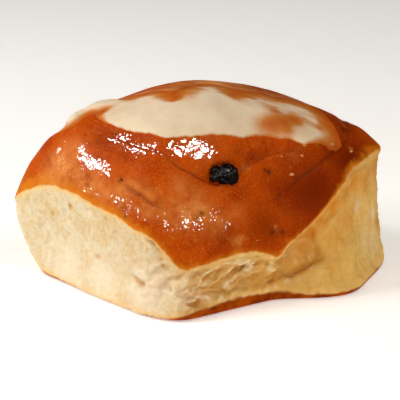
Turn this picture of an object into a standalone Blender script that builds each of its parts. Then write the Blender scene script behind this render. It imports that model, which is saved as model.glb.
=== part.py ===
"""Chelsea bun: a squarish pull-apart bun with a browned dome, torn sides, white icing and a raisin.

Units are metres, +Z is up. The bun rests on its flat base at z = 0, and the origin is under the
middle of its box. The torn left and front sides meet at the near corner, towards +X and -Y.
"""
import math

import bmesh
import bpy
import numpy as np
from mathutils import Matrix, Vector, noise
from mathutils.bvhtree import BVHTree

# Driving dimensions
CROWN_HEIGHT = 0.0653      # top of the dome above the base
BASE_ROUND = 0.0025        # rounding where the side turns under
WAIST_LEVEL = 0.45         # share of the side's height where the waist is measured
DOME_POWER = 9.0           # how sharply the dome rolls over near its rim
CROWN_ROUND = 0.75         # how far the squarish dome turns round on its way up to the crown
CRUST_LIP = 0.0009         # how far the crust stands out over the torn crumb
LIP_FADE = 3.0             # how quickly the crumb draws in above the base, per side height

# Sections round the crown: angle, reach of base, waist and crust rim, height of the rim, and the
# share of the dome that falls evenly, the rest being the roll-over at the rim
SECTIONS = {
    "left_corner": (-137.0, 0.0575, 0.0650, 0.0660, 0.0245, 0.60),
    "left_side_far": (-124.5, 0.0475, 0.0500, 0.0510, 0.0355, 0.35),
    "left_side": (-104.0, 0.0415, 0.0415, 0.0430, 0.0345, 0.65),
    "left_side_near": (-70.0, 0.0425, 0.0415, 0.0420, 0.0290, 0.70),
    "near_corner": (-54.0, 0.0440, 0.0410, 0.0405, 0.0155, 0.74),
    "front_side": (-21.0, 0.0355, 0.0340, 0.0360, 0.0200, 0.75),
    "front_notch": (-0.5, 0.0370, 0.0360, 0.0390, 0.0155, 0.74),
    "front_lobe": (19.0, 0.0568, 0.0508, 0.0495, 0.0360, 0.81),
    "right_corner": (50.5, 0.0682, 0.0655, 0.0660, 0.0430, 0.78),
    "back_side": (84.0, 0.0505, 0.0485, 0.0505, 0.0375, 0.47),
    "back_corner": (129.5, 0.0550, 0.0540, 0.0560, 0.0290, 0.54),
    "far_side": (180.0, 0.0445, 0.0440, 0.0470, 0.0340, 0.52),
}
ANGLE, BASE_REACH, WAIST_REACH, RIM_REACH, RIM_HEIGHT, EVEN_SHARE = range(6)
CORNER_SOFTNESS = 9.0      # degrees over which a corner is rounded
DOME_SOFTNESS = 15.0       # the same for the way the dome falls

# Mesh fineness
AROUND = 128               # points in one ring
BASE_RINGS = 3             # rings where the side turns under
SIDE_RINGS = 10            # rings up the torn side
RIM_RINGS = 15             # rings over the seamed outer part of the dome
CROWN_RINGS = 7            # rings over its middle
SEAMED_FROM = 0.62         # share of the reach where the closely spaced rings start
ROLL_OVER = [0.992, 0.976]  # shares of the reach of the two rings that round the rim over
SEAMED_TO = 0.955          # share of the reach where the closely spaced rings end
SHARP_FROM = math.radians(50.0)

# The rolled strip's seam on the dome: angle, share of the reach, depth; it winds inwards
SEAM = [
    (-22.8, 0.923, 0.0002), (-7.3, 0.878, 0.0006), (10.7, 0.862, 0.0010), (21.9, 0.873, 0.0011),
    (36.5, 0.876, 0.0012), (47.1, 0.837, 0.0014), (71.9, 0.878, 0.0016), (100.0, 0.868, 0.0016),
    (129.8, 0.824, 0.0016), (180.0, 0.810, 0.0015), (215.3, 0.765, 0.0010), (230.5, 0.763, 0.0005),
    (253.9, 0.732, 0.0004), (280.7, 0.708, 0.0007), (303.1, 0.730, 0.0010), (321.4, 0.786, 0.0014),
    (336.0, 0.780, 0.0018), (352.0, 0.726, 0.0018), (363.3, 0.712, 0.0014), (372.5, 0.752, 0.0007),
    (376.8, 0.787, 0.0002),
]
SEAM_HALF_WIDTH = 0.0016
SWELL_SHARE = 0.33         # how far the dough swells outside the seam, as a share of its depth
SWELL_PLACE = 2.4          # the swelling's distance from the seam, in seam half widths
SWELL_WIDTH = 1.3          # its own half width, in seam half widths

# Hollows in the crust: place from the crown, half length, half width, turn in degrees, depth
HOLLOWS = {
    "flat_valley": (0.0105, -0.0355, 0.0095, 0.0027, 16.0, 0.0012),
    "fold_by_raisin": (0.0256, -0.0065, 0.0065, 0.0024, 72.0, 0.0014),
    "pit_right": (0.0317, -0.0008, 0.0014, 0.0014, 0.0, 0.0007),
}
CRUST_LUMPS = 0.0006       # height of the dome's gentle unevenness
CRUST_LUMP_SIZE = 0.016
LUMP_SEED = (3.0, 8.0, 5.0)
LUMP_FADE = 12.0           # how quickly the lumps set in above the rim, per share of the reach

# Torn sides: how deep the crags are on each side, by angle from the crown
CRAGS = [
    (-180.0, 0.0012), (-138.0, 0.0006), (-104.0, 0.0008), (-70.0, 0.0013), (-53.0, 0.0019),
    (-21.0, 0.0024), (5.0, 0.0017), (20.0, 0.0008), (50.0, 0.0007), (84.0, 0.0011),
    (129.0, 0.0010), (180.0, 0.0012),
]
CRAG_FADE_LOW = 3.0        # how quickly the crags set in above the base, per side height
CRAG_FADE_HIGH = 4.0       # how quickly they fade below the crust
CRAG_LENGTH = 0.011        # along a flake
CRAG_HEIGHT = 0.0042       # from one flake to the next
CRAG_SLANT = math.radians(24.0)
CRAG_BEND = 1.2            # how much the flakes wave, in flakes
CRAG_BEND_PITCH = (0.7, 0.35)
CRAG_FINE = 0.5            # share of the short crags on the flakes
CRAG_FINE_PITCH = 2.1
CRAG_SEEDS = (4.1, 7.7, 1.3)

# Raisin: place from the crown, half lengths, how it is turned
RAISIN_PLACE = (0.0255, -0.0145)
RAISIN_HALF = (0.0050, 0.0039, 0.0034)
RAISIN_TURN = math.radians(43.0)
RAISIN_LEAN = math.radians(38.0)
RAISIN_RISE = 0.0032       # its middle above the bottom of the fold
RAISIN_WRINKLE = 0.0006    # depth of its wrinkles
RAISIN_FOLD_PITCH = 2.3    # wide folds across it
RAISIN_FOLD_SEED = (1.0, 2.0, 3.0)
RAISIN_FOLD_SHARE = 0.6
RAISIN_CREASE_PITCH = 4.2  # narrow creases across it
RAISIN_CREASE_SEED = (6.0, 1.0, 9.0)
RAISIN_CREASE_SHARE = 1.1
RAISIN_CREASE_EDGE = 0.5   # noise value at which a crease ends
RAISIN_GAP = 0.00055       # clear gap round it in its pocket

# Icing: the band's middle line from the crown, its reach to the front and the back, its thickness
ICING = [
    (-0.0325, -0.0262, 0.0015, 0.0015, 0.0010), (-0.0280, -0.0252, 0.0060, 0.0050, 0.0021),
    (-0.0215, -0.0238, 0.0068, 0.0065, 0.0023), (-0.0160, -0.0220, 0.0048, 0.0058, 0.0012),
    (-0.0090, -0.0212, 0.0062, 0.0062, 0.0014), (-0.0020, -0.0195, 0.0078, 0.0055, 0.0016),
    (0.0045, -0.0130, 0.0125, 0.0095, 0.0020), (0.0095, -0.0055, 0.0118, 0.0118, 0.0020),
    (0.0150, -0.0005, 0.0096, 0.0055, 0.0015), (0.0205, 0.0050, 0.0068, 0.0056, 0.0011),
    (0.0245, 0.0115, 0.0078, 0.0068, 0.0010), (0.0280, 0.0180, 0.0084, 0.0070, 0.0012),
    (0.0308, 0.0242, 0.0058, 0.0052, 0.0014), (0.0330, 0.0285, 0.0015, 0.0015, 0.0008),
]
ICING_ALONG = 44           # steps along the band
ICING_ACROSS = 12          # steps across it
ICING_RIM = 0.0003         # thickness at the band's edge
ICING_GAP = 0.0005         # clear gap under it
ICING_FLATNESS = 3.0       # how flat the band's middle is across
ICING_ROUNDING = 0.7       # how steeply it falls at its edges

# Materials: colour, roughness, metallic
CRUST_LOOK = ((0.45, 0.13, 0.025, 1.0), 0.32, 0.0)
ICING_LOOK = ((0.80, 0.70, 0.56, 1.0), 0.30, 0.0)
RAISIN_LOOK = ((0.012, 0.007, 0.006, 1.0), 0.38, 0.0)


def clear_scene():
    for old in list(bpy.data.objects):
        bpy.data.objects.remove(old, do_unlink=True)


def new_collection(name):
    collection = bpy.data.collections.new(name)
    bpy.context.scene.collection.children.link(collection)
    return collection


def new_material(name, look):
    colour, roughness, metallic = look
    material = bpy.data.materials.new(name)
    material.use_nodes = True
    shader = material.node_tree.nodes["Principled BSDF"]
    shader.inputs["Base Color"].default_value = colour
    shader.inputs["Roughness"].default_value = roughness
    shader.inputs["Metallic"].default_value = metallic
    return material


def new_object(name, bm, collection, material=None):
    mesh = bpy.data.meshes.new(name)
    bm.to_mesh(mesh)
    bm.free()
    mesh.shade_smooth()
    mesh.set_sharp_from_angle(angle=SHARP_FROM)
    obj = bpy.data.objects.new(name, mesh)
    collection.objects.link(obj)
    if material:
        mesh.materials.append(material)
    return obj


def smooth_curve(knots, at):
    """Catmull-Rom curve through the knots, whose first column is the position along it."""
    knots = np.array(knots, float)
    place = knots[:, 0]
    slope = np.gradient(knots[:, 1:], place, axis=0)
    at = np.clip(np.atleast_1d(at), place[0], place[-1])
    left = np.clip(np.searchsorted(place, at, side="right") - 1, 0, len(place) - 2)
    span = place[left + 1] - place[left]
    u = ((at - place[left]) / span)[:, None]
    span = span[:, None]
    start, end = knots[left, 1:], knots[left + 1, 1:]
    return (start * (2 * u**3 - 3 * u**2 + 1) + end * (3 * u**2 - 2 * u**3)
            + slope[left] * span * (u**3 - 2 * u**2 + u) + slope[left + 1] * span * (u**3 - u**2))


def ring_angles():
    return np.linspace(-math.pi, math.pi, AROUND, endpoint=False)


def soften(values, degrees):
    """Rounds the corners of a closed ring of values."""
    half = max(1, round(degrees * AROUND / 360.0))
    window = np.hanning(2 * half + 3)[1:-1]
    window /= window.sum()
    wrapped = np.concatenate([values[-half:], values, values[:half]])
    return np.convolve(wrapped, window, mode="valid")


def section_ring(column, straight, degrees):
    """One column of the sections, all the way round. Reaches run straight between corners."""
    rows = sorted(SECTIONS.values())
    knots = np.radians([row[ANGLE] for row in rows])
    values = np.array([row[column] for row in rows])
    knots = np.concatenate([[knots[-1] - 2 * math.pi], knots, [knots[0] + 2 * math.pi]])
    values = np.concatenate([values[-1:], values, values[:1]])
    angles = ring_angles()
    left = np.clip(np.searchsorted(knots, angles, side="right") - 1, 0, len(knots) - 2)
    before, after = knots[left], knots[left + 1]
    if straight:
        inverse = (np.sin(after - angles) / values[left] + np.sin(angles - before) / values[left + 1])
        ring = np.sin(after - before) / inverse
    else:
        ring = values[left] + (values[left + 1] - values[left]) * (angles - before) / (after - before)
    return soften(ring, degrees)


def side_reach(level, base, waist, rim):
    """Reach of the side at a share of its height, through base, waist and rim."""
    at_base = (level - WAIST_LEVEL) * (level - 1.0) / WAIST_LEVEL
    at_waist = level * (level - 1.0) / (WAIST_LEVEL * (WAIST_LEVEL - 1.0))
    at_rim = level * (level - WAIST_LEVEL) / (1.0 - WAIST_LEVEL)
    return base * at_base + waist * at_waist + rim * at_rim


def body_rings():
    """The bun's plain form as rings from the base up, each with its zone and its level there."""
    base = section_ring(BASE_REACH, True, CORNER_SOFTNESS)
    waist = section_ring(WAIST_REACH, True, CORNER_SOFTNESS)
    rim = section_ring(RIM_REACH, True, CORNER_SOFTNESS)
    rim_height = section_ring(RIM_HEIGHT, False, CORNER_SOFTNESS)
    even = section_ring(EVEN_SHARE, False, DOME_SOFTNESS)
    rings = []
    for turn in np.linspace(0.0, math.pi / 2.0, BASE_RINGS):
        reach = base - BASE_ROUND * (1.0 - math.sin(turn))
        rings.append(("base", 0.0, reach, np.full(AROUND, BASE_ROUND * (1.0 - math.cos(turn)))))
    for step in range(1, SIDE_RINGS + 1):
        level = step / SIDE_RINGS
        height = BASE_ROUND + (rim_height - BASE_ROUND) * level
        reach = side_reach(level, base, waist, rim)
        if step < SIDE_RINGS:
            tuck = CRUST_LIP * min(1.0, level * LIP_FADE)
            rings.append(("side", level, reach - tuck, height))
        else:
            rings.append(("rim", 1.0, reach, height))
    shares = np.concatenate([
        ROLL_OVER,
        np.linspace(SEAMED_TO, SEAMED_FROM, RIM_RINGS - len(ROLL_OVER)),
        np.linspace(SEAMED_FROM, 0.0, CROWN_RINGS + 2)[1:-1],
    ])
    for share in shares:
        turn_round = CROWN_ROUND * (1.0 - share)
        reach, foot, level_share = (
            column + (column.mean() - column) * turn_round for column in (rim, rim_height, even))
        fall = level_share * share**2 + (1.0 - level_share) * share**DOME_POWER
        height = foot + (CROWN_HEIGHT - foot) * (1.0 - fall)
        rings.append(("dome", share, reach * share, height))
    return rings


def seam_depth(angle, share, reach):
    """Depth of the seam under a point of the dome, less the swelling beside it."""
    depth = 0.0
    for winding in (0.0, 360.0):
        along = math.degrees(angle) + winding
        if not SEAM[0][0] <= along <= SEAM[-1][0]:
            continue
        line, deep = smooth_curve(SEAM, along)[0]
        away = (share - line) * reach / SEAM_HALF_WIDTH
        swell = SWELL_SHARE * math.exp(-((away - SWELL_PLACE) / SWELL_WIDTH) ** 2)
        depth += deep * (math.exp(-away**2) - swell)
    return depth


def hollow_depth(x, y):
    depth = 0.0
    for place_x, place_y, half_length, half_width, turn, deep in HOLLOWS.values():
        turn = math.radians(turn)
        along = ((x - place_x) * math.cos(turn) + (y - place_y) * math.sin(turn)) / half_length
        across = ((y - place_y) * math.cos(turn) - (x - place_x) * math.sin(turn)) / half_width
        depth += deep * math.exp(-along**2 - across**2)
    return depth


def crag_relief(angle, reach, height):
    """Layered flakes of the torn crumb, which run up to the right."""
    around = angle * reach
    along = (around * math.cos(CRAG_SLANT) + height * math.sin(CRAG_SLANT)) / CRAG_LENGTH
    layer = (height * math.cos(CRAG_SLANT) - around * math.sin(CRAG_SLANT)) / CRAG_HEIGHT
    bend_seed, flake_seed, short_seed = CRAG_SEEDS
    wave = Vector((along * CRAG_BEND_PITCH[0], layer * CRAG_BEND_PITCH[1], bend_seed))
    bend = CRAG_BEND * noise.noise(wave)
    flake = noise.noise(Vector((along, layer + bend, flake_seed)))
    short = noise.noise(Vector((along * CRAG_FINE_PITCH, layer, short_seed)))
    return flake + CRAG_FINE * short


def relief(zone, level, angle, point, reach):
    """How far a point of the plain form moves out along its normal."""
    if zone in ("base", "rim"):
        return 0.0
    if zone == "side":
        deep = smooth_curve(CRAGS, math.degrees(angle))[0][0]
        fade = min(1.0, level * CRAG_FADE_LOW) * min(1.0, (1.0 - level) * CRAG_FADE_HIGH)
        return deep * fade * crag_relief(angle, reach, point.z)
    lumps = noise.noise(Vector(point) / CRUST_LUMP_SIZE + Vector(LUMP_SEED))
    fade = min(1.0, (1.0 - level) * LUMP_FADE)
    return (CRUST_LUMPS * lumps * fade - seam_depth(angle, level, reach)
            - hollow_depth(point.x, point.y))


def build_bun(collection, material):
    bm = bmesh.new()
    angles = ring_angles()
    rings = []
    for zone, level, reach, height in body_rings():
        verts = []
        for angle, out, up in zip(angles, reach, height):
            verts.append(bm.verts.new((out * math.cos(angle), out * math.sin(angle), up)))
        rings.append((zone, level, verts))
    crown = bm.verts.new((0.0, 0.0, CROWN_HEIGHT))
    bm.faces.new(list(reversed(rings[0][2])))
    for lower, upper in zip(rings, rings[1:]):
        for k in range(AROUND):
            after = (k + 1) % AROUND
            bm.faces.new((lower[2][k], lower[2][after], upper[2][after], upper[2][k]))
    top = rings[-1][2]
    for k in range(AROUND):
        bm.faces.new((top[k], top[(k + 1) % AROUND], crown))
    bm.normal_update()
    rim_reach = section_ring(RIM_REACH, True, CORNER_SOFTNESS)
    moves = []
    for zone, level, verts in rings:
        for k, vert in enumerate(verts):
            out = relief(zone, level, angles[k], vert.co, rim_reach[k])
            moves.append((vert, vert.normal * out))
    for vert, move in moves:
        vert.co += move
    return new_object("bun", bm, collection, material)


def raisin_frame(bun_tree):
    """Where the raisin sits on the dome, and how it is turned."""
    centre = surface_point(bun_tree, *RAISIN_PLACE) + Vector((0.0, 0.0, RAISIN_RISE))
    turn = Matrix.Rotation(RAISIN_TURN, 4, "Z") @ Matrix.Rotation(RAISIN_LEAN, 4, "X")
    return Matrix.Translation(centre) @ turn


def build_raisin(collection, cutters, material, frame):
    bm = bmesh.new()
    bmesh.ops.create_icosphere(bm, subdivisions=3, radius=1.0)
    for vert in bm.verts:
        fold = noise.noise(vert.co * RAISIN_FOLD_PITCH + Vector(RAISIN_FOLD_SEED))
        crease = abs(noise.noise(vert.co * RAISIN_CREASE_PITCH + Vector(RAISIN_CREASE_SEED)))
        creased = RAISIN_CREASE_EDGE - min(RAISIN_CREASE_EDGE, crease)
        inward = RAISIN_WRINKLE * (RAISIN_FOLD_SHARE * (fold + 1.0) + RAISIN_CREASE_SHARE * creased)
        size = [half - inward for half in RAISIN_HALF]
        vert.co = Vector((vert.co.x * size[0], vert.co.y * size[1], vert.co.z * size[2]))
    bm.transform(frame)
    new_object("raisin", bm, collection, material)
    pocket = bmesh.new()
    bmesh.ops.create_icosphere(pocket, subdivisions=2, radius=1.0)
    grow = [half + RAISIN_GAP for half in RAISIN_HALF]
    for vert in pocket.verts:
        vert.co = Vector((vert.co.x * grow[0], vert.co.y * grow[1], vert.co.z * grow[2]))
    pocket.transform(frame)
    cutter = new_object("raisin_pocket", pocket, cutters)
    cutter.hide_render = True
    cutter.display_type = "WIRE"
    return cutter


def surface_point(tree, x, y):
    """Where a plumb line meets the dome."""
    return tree.ray_cast(Vector((x, y, CROWN_HEIGHT * 2.0)), Vector((0.0, 0.0, -1.0)))[0]


def icing_stations():
    """Points and edges of the band at even steps: middle, side direction, both reaches, thickness."""
    knots = np.array(ICING)
    steps = np.concatenate([[0.0], np.cumsum(np.hypot(*np.diff(knots[:, :2], axis=0).T))])
    rows = np.column_stack([steps, knots])
    at = np.linspace(0.0, steps[-1], ICING_ALONG + 1)
    curve = smooth_curve(rows, at)
    heading = np.gradient(curve[:, :2], axis=0)
    heading /= np.hypot(*heading.T)[:, None]
    front = np.column_stack([heading[:, 1], -heading[:, 0]])
    return curve, front


def build_icing(collection, material, tree):
    """The icing lies on the dome like a skin, thick in its middle and thin at its edge."""
    bm = bmesh.new()
    curve, front = icing_stations()
    top, bottom = [], []
    for (x, y, to_front, to_back, thick), way in zip(curve, front):
        top_row, bottom_row = [], []
        for across in np.linspace(-1.0, 1.0, ICING_ACROSS + 1):
            side = math.sin(across * math.pi / 2.0)
            reach = to_front if side > 0.0 else to_back
            point = surface_point(tree, x + way[0] * reach * side, y + way[1] * reach * side)
            out = point.normalized()
            crest = max(0.0, 1.0 - abs(side) ** ICING_FLATNESS) ** ICING_ROUNDING
            bottom_row.append(bm.verts.new(point + out * ICING_GAP))
            top_row.append(bm.verts.new(point + out * (ICING_GAP + ICING_RIM + thick * crest)))
        top.append(top_row)
        bottom.append(bottom_row)
    for i in range(ICING_ALONG):
        for j in range(ICING_ACROSS):
            bm.faces.new((top[i][j], top[i][j + 1], top[i + 1][j + 1], top[i + 1][j]))
            bm.faces.new((bottom[i][j], bottom[i + 1][j], bottom[i + 1][j + 1], bottom[i][j + 1]))
        for j, flip in ((0, True), (ICING_ACROSS, False)):
            wall = [top[i][j], bottom[i][j], bottom[i + 1][j], top[i + 1][j]]
            bm.faces.new(wall if not flip else wall[::-1])
    for i, flip in ((0, False), (ICING_ALONG, True)):
        for j in range(ICING_ACROSS):
            wall = [top[i][j], bottom[i][j], bottom[i][j + 1], top[i][j + 1]]
            bm.faces.new(wall if not flip else wall[::-1])
    bmesh.ops.recalc_face_normals(bm, faces=bm.faces)
    return new_object("icing", bm, collection, material)


def stand_on_origin(objects):
    """Moves the finished bun so that the middle of its box is over the origin."""
    bun = objects[0]
    corners = np.array([vert.co[:] for vert in bun.data.vertices])
    middle = (corners.min(axis=0) + corners.max(axis=0)) / 2.0
    shift = Matrix.Translation((-middle[0], -middle[1], 0.0))
    for obj in objects:
        obj.data.transform(shift)


def main():
    clear_scene()
    parts = new_collection("chelsea_bun")
    cutters = new_collection("cutters")
    bun = build_bun(parts, new_material("crust", CRUST_LOOK))
    bm = bmesh.new()
    bm.from_mesh(bun.data)
    tree = BVHTree.FromBMesh(bm)
    bm.free()
    build_icing(parts, new_material("icing", ICING_LOOK), tree)
    cutter = build_raisin(parts, cutters, new_material("raisin", RAISIN_LOOK), raisin_frame(tree))
    stand_on_origin([bun, parts.objects["icing"], parts.objects["raisin"], cutter])
    cut = bun.modifiers.new("raisin pocket", "BOOLEAN")
    cut.operation = "DIFFERENCE"
    cut.object = cutter
    cut.solver = "EXACT"


main()
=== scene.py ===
# A chelsea bun on a pale table: glazed crust, torn crumb, white icing and one raisin.
# Sizes are metres. The bun stands at the origin, the torn left side faces -Y, the ragged front +X.
import math
import random

import bmesh
import bpy
import numpy as np
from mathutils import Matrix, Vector, kdtree, noise
from mathutils.bvhtree import BVHTree


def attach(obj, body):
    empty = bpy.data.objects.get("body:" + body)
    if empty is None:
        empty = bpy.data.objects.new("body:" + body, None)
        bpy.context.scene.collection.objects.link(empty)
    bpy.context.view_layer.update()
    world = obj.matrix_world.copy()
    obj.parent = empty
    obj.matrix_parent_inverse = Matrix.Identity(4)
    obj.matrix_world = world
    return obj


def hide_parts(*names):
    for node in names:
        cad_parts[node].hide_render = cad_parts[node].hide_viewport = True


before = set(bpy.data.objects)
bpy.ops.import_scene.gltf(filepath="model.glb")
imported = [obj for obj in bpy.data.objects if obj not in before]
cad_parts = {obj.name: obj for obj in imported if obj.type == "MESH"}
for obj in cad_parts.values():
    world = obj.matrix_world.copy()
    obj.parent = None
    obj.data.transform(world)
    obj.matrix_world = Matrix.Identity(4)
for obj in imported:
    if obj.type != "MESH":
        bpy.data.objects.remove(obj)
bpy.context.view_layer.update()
scene = bpy.context.scene

crown = Vector((-0.0020, -0.0043, 0.0653))   # top of the dome; the curves below are read round it


# helpers for points and noise

def readMesh(mesh):
    # the vertices' places and normals
    found = []
    for name in ("co", "normal"):
        flat = np.empty(len(mesh.vertices) * 3)
        mesh.vertices.foreach_get(name, flat)
        found.append(flat.reshape(-1, 3))
    return found


def writePoints(mesh, points):
    mesh.vertices.foreach_set("co", points.ravel())
    mesh.update()


def paintMasks(mesh, **masks):
    for name, values in masks.items():
        layer = mesh.attributes.new(name, "FLOAT", "POINT")
        layer.data.foreach_set("value", values.astype(np.float32))


def bell(away, width):
    return np.exp(-(away / width) ** 2)


def held(values):
    # between 0 and 1
    return np.clip(values, 0.0, 1.0)


def easeStep(low, high, value):
    t = held((value - low) / (high - low))
    return t * t * (3.0 - 2.0 * t)


def doughNoise(points, size, seed, stretch=(1.0, 1.0, 1.0), basis="PERLIN_ORIGINAL"):
    # one value from -1 to 1 for each point; size is the width of a lump
    scaled = points / (np.array(stretch) * size) + seed * 7.31
    return np.array([noise.noise(p, noise_basis=basis) for p in scaled.tolist()])


def curveAt(knots, angles):
    # a value by angle in degrees round the crown; the curve closes on itself
    knots = sorted(knots)
    knotAngles = [a for a, v in knots]
    values = [v for a, v in knots]
    return np.interp(angles, knotAngles, values, period=360.0)


def aroundCrown(points):
    x = points[:, 0] - crown.x
    y = points[:, 1] - crown.y
    return np.degrees(np.arctan2(y, x)), np.hypot(x, y)


def spot(points, place, halfSizes, turn=0.0):
    # a soft spot seen in plan, 1 in its middle; place is the distance from the crown
    x = points[:, 0] - crown.x - place[0]
    y = points[:, 1] - crown.y - place[1]
    c, s = math.cos(math.radians(turn)), math.sin(math.radians(turn))
    along = (x * c + y * s) / halfSizes[0]
    across = (y * c - x * s) / halfSizes[1]
    return np.exp(-along**2 - across**2)


def ballSpot(points, centre, radius, sharpness=2.0):
    # a soft ball round a point, 1 in its middle
    away = np.linalg.norm(points - np.array(centre), axis=1)
    return np.exp(-(away / radius) ** sharpness)


def metres(*millimetres):
    return tuple(value / 1000.0 for value in millimetres)


def ovals(points, rows):
    # a soft spot for each row: plan place, half sizes, turn and strength, in millimetres
    for x, y, halfLong, halfWide, turn, strength in rows:
        yield strength * spot(points, metres(x, y), metres(halfLong, halfWide), turn)


def strongest(points, patches):
    # the strongest of some soft balls at each point; each is x, y, z and radius, then its strength
    mask = np.zeros(len(points))
    for x, y, z, radius, strength in patches:
        mask = np.maximum(mask, strength * ballSpot(points, metres(x, y, z), radius / 1000.0))
    return mask


def treeOf(mesh):
    return BVHTree.FromPolygons([v.co for v in mesh.vertices], [p.vertices[:] for p in mesh.polygons])


def letDown(x, y, tree):
    return tree.ray_cast(Vector((x, y, 0.09)), Vector((0.0, 0.0, -1.0)))[0]


def dropped(x, y, tree):
    # a plan place from the crown in millimetres, let down onto the dough
    return letDown(crown.x + x / 1000.0, crown.y + y / 1000.0, tree)


def onSide(angle, height, tree):
    # where a level line towards the middle meets the side, and the outward direction there
    a = math.radians(angle)
    away = Vector((math.cos(a), math.sin(a), 0.0))
    start = Vector((crown.x, crown.y, height)) + away * 0.09
    point, normal, _, _ = tree.ray_cast(start, -away)
    return point, normal


def smoothRun(knots):
    # the knots as a smooth line with a point every quarter of a millimetre
    knots = np.array(knots)
    steps = np.concatenate([[0.0], np.cumsum(np.hypot(*np.diff(knots[:, :2], axis=0).T))])
    slope = np.gradient(knots, steps, axis=0)
    at = np.arange(0.0, steps[-1], 0.25)
    left = np.clip(np.searchsorted(steps, at, side="right") - 1, 0, len(steps) - 2)
    span = (steps[left + 1] - steps[left])[:, None]
    u = (at - steps[left])[:, None] / span
    line = knots[left] * (2 * u**3 - 3 * u**2 + 1) + knots[left + 1] * (3 * u**2 - 2 * u**3)
    line += slope[left] * span * (u**3 - 2 * u**2 + u) + slope[left + 1] * span * (u**3 - u**2)
    return line


def nearRun(points, knots, tree=None):
    # signed distance from a run in metres, positive outside it, and the run's values there;
    # measured over the dough when its tree is given, otherwise in plan
    line = smoothRun(knots)
    heading = np.gradient(line[:, :2], axis=0)
    finder = kdtree.KDTree(len(line))
    for k, (x, y) in enumerate(line[:, :2]):
        flatPoint = Vector((x / 1000.0 + crown.x, y / 1000.0 + crown.y, 0.0))
        finder.insert(dropped(x, y, tree) if tree else flatPoint, k)
    finder.balance()
    asked = points if tree else points * np.array([1.0, 1.0, 0.0])
    found = [finder.find(p)[1:] for p in asked.tolist()]
    nearest = np.array([k for k, d in found])
    away = np.array([d for k, d in found])
    dx = points[:, 0] - crown.x - line[nearest, 0] / 1000.0
    dy = points[:, 1] - crown.y - line[nearest, 1] / 1000.0
    outside = heading[nearest, 1] * dx - heading[nearest, 0] * dy
    return (np.where(outside > 0.0, away, -away), *line[nearest, 2:].T)


def nearThread(points, knots):
    # distance in metres from a line through places given in millimetres
    finder = kdtree.KDTree(200 * len(knots))
    for start, end in zip(knots, knots[1:]):
        for share in np.linspace(0.0, 1.0, 40):
            finder.insert(Vector(start).lerp(Vector(end), share) / 1000.0, 0)
    finder.balance()
    return np.array([finder.find(p)[2] for p in points.tolist()])


def applyModifiers(piece):
    depsgraph = bpy.context.evaluated_depsgraph_get()
    baked = bpy.data.meshes.new_from_object(piece.evaluated_get(depsgraph))
    piece.modifiers.clear()
    piece.data = baked


def newPiece(name, mesh):
    piece = bpy.data.objects.new(name, mesh)
    scene.collection.objects.link(piece)
    return piece


def dress(mesh, material):
    mesh.shade_smooth()
    mesh.materials.clear()
    mesh.materials.append(material)


def copyOfNode(node, name):
    bm = bmesh.new()
    bm.from_mesh(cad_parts[node].data)
    bmesh.ops.remove_doubles(bm, verts=bm.verts, dist=1e-6)
    mesh = bpy.data.meshes.new(name)
    bm.to_mesh(mesh)
    bm.free()
    return newPiece(name, mesh)


def relax(piece, rounds, group=""):
    smooth = piece.modifiers.new("relax", "SMOOTH")
    smooth.factor = 0.5
    smooth.iterations = rounds
    smooth.vertex_group = group


def remeshed(piece, voxel, rounds):
    remesh = piece.modifiers.new("even grain", "REMESH")
    remesh.mode = "VOXEL"
    remesh.voxel_size = voxel
    relax(piece, rounds)
    applyModifiers(piece)


# camera

viewpoint = dict(
    azimuth=43.0,
    elevation=20.0,
    distance=0.45,
    aim=(0.00258, -0.00779, 0.028),
    lens=121.5,
)


def outward(azimuth, elevation):
    a, e = math.radians(azimuth), math.radians(elevation)
    return Vector((math.sin(a) * math.cos(e), -math.cos(a) * math.cos(e), math.sin(e)))


def aimed(name, data, azimuth, elevation, distance):
    # a camera or lamp that looks at the bun
    thing = newPiece(name, data)
    back = outward(azimuth, elevation)
    thing.location = Vector(viewpoint["aim"]) + back * distance
    thing.rotation_euler = (-back).to_track_quat("-Z", "Y").to_euler()
    return thing


def placeCamera():
    data = bpy.data.cameras.new("bunCamera")
    data.lens = viewpoint["lens"]
    data.sensor_width = 36.0
    data.clip_start = 0.01
    stand = (viewpoint["azimuth"], viewpoint["elevation"], viewpoint["distance"])
    scene.camera = aimed("bunCamera", data, *stand)
    print("camera placed")


# bun

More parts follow.
